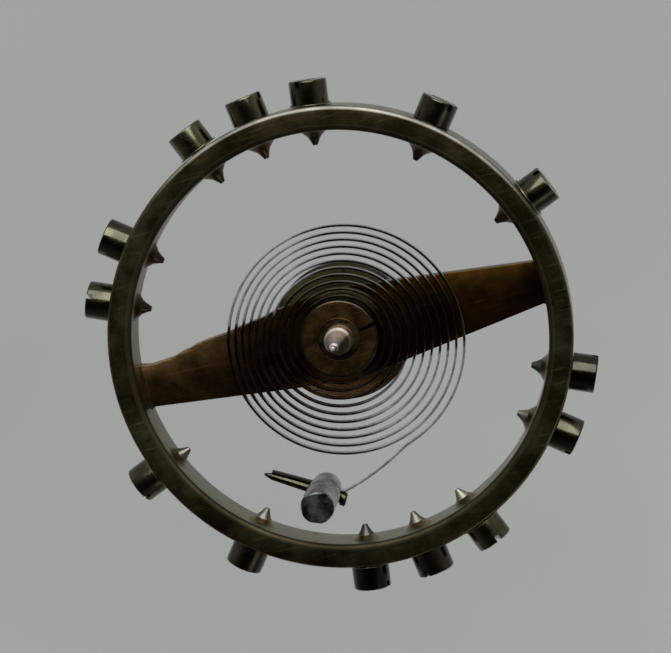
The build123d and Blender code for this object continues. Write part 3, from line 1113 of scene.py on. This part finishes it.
def inner_straight():
    """Where the strip's straight inner end lies: its heading in degrees, the strip's and the
    hole's distances from the axis, and how far along the heading the strip starts to bend."""
    hole_distance = (collet_seat_radius + collet_radius) / 2
    strip_distance = hole_distance - strip_offset(collet_hole_radius)
    bend_centre = spring_inner_radius - inner_bend_radius - spring_off_centre
    bend_start = math.sqrt(bend_centre ** 2 - (strip_distance - inner_bend_radius) ** 2)
    lead = math.degrees(math.atan2(strip_distance - inner_bend_radius, bend_start))
    return spring_line_angle + 180 - lead, strip_distance, hole_distance, bend_start


def along_inner_straight(distance, along):
    heading = inner_straight()[0]
    return direction(heading + 90) * distance + direction(heading) * along + up * spring_z


def drill(radius, middle, way, length):
    return moved(rod("drill", radius, -length / 2, length / 2, pin_sides), along_line(middle, way))


def collet():
    """Split ring with a rounded upper edge, drilled across for the hairspring and its pin."""
    bore = collet_seat_radius + seat_clearance
    body = ring("split_collet", [
        (bore, collet_bottom, 0), (collet_radius, collet_bottom, collet_round),
        (collet_radius, collet_top, collet_round), (bore, collet_top, collet_bore_round),
    ], wide_sides, steps=6)
    heading, _, hole_distance, _ = inner_straight()
    hole = drill(collet_hole_radius, along_inner_straight(hole_distance, 0), direction(heading),
                 2 * collet_radius + cut_overrun)
    length = collet_radius + cut_overrun
    slit = moved(block("slit", (length, collet_slit_width, 2 * cut_overrun + collet_top - collet_bottom),
                       Vector((length / 2, 0, spring_z))),
                 Matrix.Rotation(math.radians(collet_slit_angle), 4, "Z"))
    return crisp(cut(body, hole, slit))


def taper_rod(name, start, end, start_radius, end_radius, point=0.0, point_radius=0.0):
    """Round rod between two points, rounded at its thick end, and pointed beyond its thin end."""
    axis = end - start
    corners = [
        (0, 0, 0),
        (start_radius, 0, start_radius * thick_end_round_share),
        (end_radius, axis.length, end_radius * thin_end_round_share),
    ]
    if point:
        corners.append((point_radius, axis.length + point, point_radius * point_round_share))
    corners.append((0, axis.length + point, 0))
    upright = turned(name, softened(corners), sides=pin_sides)
    return crisp(moved(upright, along_line(start, axis.normalized())))


def collet_pin():
    _, _, hole_distance, _ = inner_straight()
    radius, strip_face = room_for_pin(collet_hole_radius)
    distance = hole_distance - strip_face + radius
    reach = math.sqrt(collet_radius ** 2 - (distance + radius) ** 2) - collet_pin_inset
    thin = radius * collet_pin_taper
    start = along_inner_straight(distance, reach)
    end = along_inner_straight(distance - (radius - thin), -reach)
    return taper_rod("inner_pin", start, end, radius, thin)


# Hairspring

class Route:
    """A flat path of tangent arcs and straights, kept as points close together."""

    def __init__(self, point, heading):
        self.point = point
        self.heading = heading
        self.points = [point]

    def straight(self, length):
        steps = max(2, round(length / straight_step))
        for k in range(1, steps + 1):
            self.points.append(self.point + direction(self.heading) * length * k / steps)
        self.point = self.points[-1]

    def arc(self, radius, turn):
        """Turns left by a positive number of degrees and right by a negative one."""
        side = 90 if turn > 0 else -90
        centre = self.point + direction(self.heading + side) * radius
        steps = max(3, round(abs(turn) / degrees_per_step))
        for k in range(1, steps + 1):
            self.points.append(centre + direction(self.heading - side + turn * k / steps) * radius)
        self.point = self.points[-1]
        self.heading += turn


def stud_hole_line(offset, along):
    """A point in the stud's hole: offset from its middle towards the staff, and along it."""
    side = direction(stud_hole_angle - 90) * (offset - stud_hole_outset)
    return stud_place + side + direction(stud_hole_angle) * along + up * spring_z


def spring_route():
    """The whole spring's middle line, from its end in the collet to its end past the stud."""
    heading, strip_distance, _, bend_start = inner_straight()
    tail_start = -math.sqrt(collet_radius ** 2 - strip_distance ** 2) + inner_tail
    route = Route(along_inner_straight(strip_distance, tail_start), heading)
    route.straight(bend_start - tail_start)
    route.arc(inner_bend_radius, -(heading - (spring_line_angle + 90)))
    radius = spring_inner_radius
    for k in range(spring_half_turns):
        if k:
            radius += spring_short_step if k % 2 else spring_long_step
        route.arc(radius, -180)
    route.arc(radius, -terminal_follow_turn)
    route.arc(terminal_out_radius, terminal_out_turn)
    last_turn = (stud_hole_angle - route.heading + terminal_long_turn + 180) % 360 - 180
    across = direction(stud_hole_angle - 90)
    in_stud = strip_offset(stud_hole_radius)
    # The long turn before the last bend has the radius that leads the strip into the stud's hole
    probe = Route(Vector(), route.heading)
    probe.arc(1, -terminal_long_turn)
    bend = Route(Vector(), probe.heading)
    bend.arc(terminal_bend_radius, last_turn)
    missing = across.dot(stud_hole_line(in_stud, 0) - route.point) - across.dot(bend.point)
    route.arc(missing / across.dot(probe.point), -terminal_long_turn)
    route.arc(terminal_bend_radius, last_turn)
    route.straight((stud_hole_line(in_stud, stud_radius + outer_tail) - route.point).length)
    return route.points


def strip_tree():
    """Draws a flat strip on edge along a line."""
    tree, given = shaping_tree(
        "strip_on_edge", Thickness="NodeSocketFloat", Width="NodeSocketFloat",
        Edge_Round="NodeSocketFloat", Finish="NodeSocketMaterial",
    )
    line = node(tree, "GeometryNodeMeshToCurve", {"Mesh": given["Geometry"]}).outputs["Curve"]
    upright = node(tree, "GeometryNodeSetCurveNormal", {"Curve": line}, mode="Z_UP").outputs["Curve"]
    section = node(tree, "GeometryNodeCurvePrimitiveQuadrilateral",
                   {"Width": given["Thickness"], "Height": given["Width"]})
    eased = node(tree, "GeometryNodeFilletCurve",
                 {"Curve": section.outputs["Curve"], "Radius": given["Edge Round"], "Count": 2}, mode="POLY")
    strip = node(tree, "GeometryNodeCurveToMesh", {
        "Curve": upright, "Profile Curve": eased.outputs["Curve"], "Fill Caps": True,
    })
    end_tree(tree, strip.outputs["Mesh"], given["Finish"])
    return tree


def hairspring(finish):
    """One strip along the route. Each point's share of the way from the stud's hole to the collet's, which
    is how far it turns with the balance when the spring winds up, is kept on it while the strip is made and
    taken off afterwards."""
    points = spring_route()
    mesh = mesh_from("hairspring_strip", points, lines=[(k, k + 1) for k in range(len(points) - 1)])
    distance = [0.0]
    for a, b in zip(points, points[1:]):
        distance.append(distance[-1] + (b - a).length)
    first = inner_tail + 2 * inner_straight()[3]
    last = distance[-1] - outer_tail - 2 * stud_radius
    wound = [min(max((last - along) / (last - first), 0), 1) for along in distance]
    keep_on_points(mesh, "wound_share", wound)
    strip = in_scene("hairspring_strip", mesh)
    shape_with(strip, strip_tree(), Thickness=strip_thickness, Width=strip_width,
               Edge_Round=strip_edge_round, Finish=finish)
    crisp(strip, strip_sharp_turn)
    kept = strip.data.attributes["wound_share"]
    shares = [item.value for item in kept.data]
    strip.data.attributes.remove(kept)
    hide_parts("hairspring")
    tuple(points[-1])
    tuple(points[0])
    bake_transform(strip)


# Stud

def chip_top_edge(post):
    """Leaves the post's upper edge uneven, as where it was nipped off and filed."""
    for vertex in post.data.vertices:
        share = min(max(1 - (stud_top - vertex.co.z) / stud_chip_reach, 0), 1)
        outwards = Vector((vertex.co.x, vertex.co.y, 0))
        if share and outwards.length > stud_radius / 2:
            chip = noise.noise(outwards.normalized() * stud_radius / mm * stud_chips_per_mm)
            depth = stud_chip_depth * share * min(max(chip * stud_chip_strength, 0), 1)
            vertex.co -= outwards.normalized() * depth
    return post


def stud():
    """Round post on a foot that narrows downwards, its ends eased. The foot is drilled across for
    the hairspring and its pin."""
    post = turned("stud_post", softened([
        (0, stud_bottom, 0),
        (stud_foot_radius, stud_bottom, stud_round),
        (stud_radius, stud_foot_top, stud_foot_round),
        (stud_radius, stud_top - stud_chip_reach, 0),
        (stud_radius, stud_top, stud_round),
        (0, stud_top, 0),
    ], steps=5))
    moved(chip_top_edge(post), Matrix.Translation(stud_place))
    hole = drill(stud_hole_radius, stud_hole_line(0, 0), direction(stud_hole_angle),
                 2 * stud_radius + cut_overrun)
    return crisp(cut(post, hole))


def stud_pin():
    """Taper pin wedged beside the strip, its thick end upset where it was pressed in, its thin end
    left long and pointed beyond the stud."""
    thick, strip_face = room_for_pin(stud_hole_radius)
    head = -stud_radius - stud_pin_head
    start = stud_hole_line(strip_face - thick, head)
    end = stud_hole_line(strip_face - stud_pin_tip_radius, stud_radius + stud_pin_reach)
    pin = taper_rod("outer_pin", start, end, thick, stud_pin_tip_radius, stud_pin_point, stud_pin_end_radius)
    burr_start = stud_hole_line(strip_face - stud_pin_burr_radius, head - stud_pin_burr_lead)
    burr_end = burr_start + direction(stud_hole_angle) * stud_pin_burr_length
    burr = taper_rod("burr", burr_start, burr_end, stud_pin_burr_radius,
                     stud_pin_burr_radius * stud_pin_burr_taper)
    return crisp(cut(pin, burr, operation="UNION"))


# Camera, light and floor

def camera():
    """Nearly square on to the wheel, tilted a little to the upper right, as in the photograph."""
    away = direction(view_tilt_way, 90 - view_tilt)
    right = Vector((0, 1, 0)).cross(away).normalized()
    over = away.cross(right)
    place = right * view_aside + over * view_over + away * view_distance
    lens = bpy.data.cameras.new("camera")
    lens.lens = focal_length
    lens.clip_start = nearest_seen
    taker = in_scene("camera", lens)
    held = Matrix.Translation(place) @ Matrix((right, over, away)).transposed().to_4x4()
    taker.matrix_world = Matrix.Rotation(math.radians(view_turn), 4, "Z") @ held
    bpy.context.scene.camera = taker


def soft_panel(name, azimuth, elevation, distance, width, height, radiance):
    """A lamp panel facing the object, seen in a direction given in degrees."""
    lamp = bpy.data.lights.new(name, "AREA")
    lamp.shape = "RECTANGLE"
    lamp.size = width
    lamp.size_y = height
    lamp.energy = radiance * math.pi * width * height
    away = direction(azimuth, elevation)
    panel = in_scene(name, lamp)
    panel.location = away * distance
    panel.rotation_mode = "QUATERNION"
    panel.rotation_quaternion = away.to_track_quat("Z", "Y")


def sky():
    """A plain room: pale round the horizon, darker on the side away from the window and overhead."""
    world = bpy.data.worlds.new("room")
    world.use_nodes = True
    bpy.context.scene.world = world
    tree = world.node_tree
    way = node(tree, "ShaderNodeTexCoord").outputs["Generated"]
    ramp = node(tree, "ShaderNodeValToRGB", {"Fac": one_axis(way, "Z")})
    greys_by_height = [(0.0, 0.62), (0.35, 0.47), (0.70, 0.20), (0.90, 0.045), (0.97, 0.022)]
    bands = ramp.color_ramp.elements
    while len(bands) < len(greys_by_height):
        bands.new(0.5)
    for band, (height, grey) in zip(bands, greys_by_height):
        band.position = height
        band.color = (grey, grey, grey * 1.02, 1)
    strength = levels(dot(way, direction(window_side)), -0.7, 0.8, 0.25, 1.0)
    feed(tree.nodes["Background"], {"Color": ramp.outputs["Color"], "Strength": strength})


def stage_floor():
    """Plain pale floor below the object, a little paler on the stud's side as a painted light that offsets
    the object's soft shadow there.
    """
    half = floor_size / 2
    corners = [(half * x, half * y, -floor_below) for x, y in ((-1, -1), (1, -1), (1, 1), (-1, 1))]
    floor = piece_from("floor", corners, [[0, 1, 2, 3]])
    material, shader, place = new_finish("pale_floor")
    cloud = levels(speckle(place, 0.15, 2.0), 0.3, 0.7)
    plain = blend_colours(cloud, (0.298, 0.304, 0.297), (0.306, 0.312, 0.305))
    # Painted light: paler towards the stud's side, where the object's shadow falls
    nearer = across_the_wheel(place, -90, 0, 15)
    feed(shader, {
        "Base Color": blend_colours(nearer, plain, (0.363, 0.371, 0.362)),
        "Roughness": 0.9, "Specular IOR Level": 0.1,
    })
    floor.data.materials.append(material)


# The object

def build():
    """Makes each piece and gives it its finish and the nodes that it stands for, and each but the hairspring
    its body.
    """
    copies = round_the_rim_tree()
    wheel_finish, screw_finish, washer_finish = wheel_metal(), screw_metal(), washer_metal()
    roller_finish, pin_finish = roller_metal(), pin_brass()

    fit(balance_wheel(copies, wheel_finish), "balance", "wheel_metal", wheel_finish, "balance_wheel")
    screws = set_round_the_rim("timing_screws", copies, screw_shape(), screw_finish)
    fit(screws, "balance", "screw_metal", screw_finish,
        *[f"timing_screw_{k + 1:02d}" for k in range(screw_count)])
    washers = set_round_the_rim("timing_washers", copies, washer_shape(), washer_finish, washed_screws)
    fit(washers, "balance", "washer_metal", washer_finish,
        *[f"timing_washer_{k + 1:02d}" for k in washed_screws])
    fit(balance_staff(), "balance", "polished_steel", polished_steel(), "balance_staff")
    fit(impulse_roller(), "balance", "roller_metal", roller_finish, "impulse_roller")
    fit(safety_roller(), "balance", "roller_metal", roller_finish, "safety_roller")
    fit(impulse_jewel(), "balance", "ruby", ruby(), "impulse_jewel")
    fit(collet(), "balance", "collet_metal", collet_metal(), "collet")
    fit(collet_pin(), "balance", "pin_brass", pin_finish, "collet_pin")
    fit(stud(), "stud", "stud_steel", stud_steel(), "stud")
    fit(stud_pin(), "stud", "pin_brass", pin_finish, "stud_pin")
    hairspring(spring_steel())


camera()
sky()
soft_panel("window", azimuth=window_side, elevation=44, distance=460 * mm, width=495 * mm,
           height=425 * mm, radiance=6.2)
soft_panel("fill", azimuth=-60, elevation=34, distance=300 * mm, width=200 * mm, height=120 * mm,
           radiance=0.7)
stage_floor()
build()

bpy.context.scene.view_settings.view_transform = "Standard"
